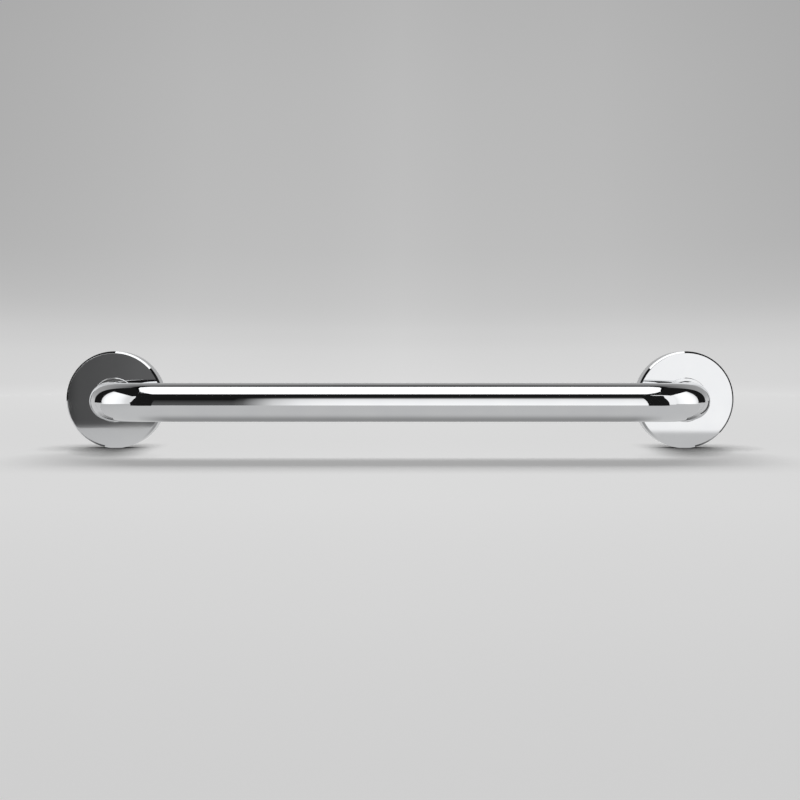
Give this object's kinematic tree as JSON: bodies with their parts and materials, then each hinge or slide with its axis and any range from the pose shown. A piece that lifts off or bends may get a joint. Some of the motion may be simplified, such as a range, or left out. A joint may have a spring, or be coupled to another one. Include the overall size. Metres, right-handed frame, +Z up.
{
  "type": "grab bar",
  "caption": "Straight wall grab bar: a polished round tube bent square at both ends into round wall flanges, with push-fit covers over the screws.",
  "frame": {"origin": "on the wall plane, midway between the two flanges, at the height of the bar's centre line", "axes": "+X along the bar, +Y into the wall, +Z up; the bar stands out towards -Y"},
  "size_m": [0.585, 0.074, 0.085],
  "materials": {
    "tube": "mirror polished",
    "flange_cover": "mirror polished",
    "mounting_flange": "mill finish, with a weld"
  },
  "bodies": {
    "root": {"grab_tube": "tube", "left_mounting_flange": "mounting_flange", "right_mounting_flange": "mounting_flange", "left_flange_cover": "flange_cover", "right_flange_cover": "flange_cover"}
  },
  "joints": []
}
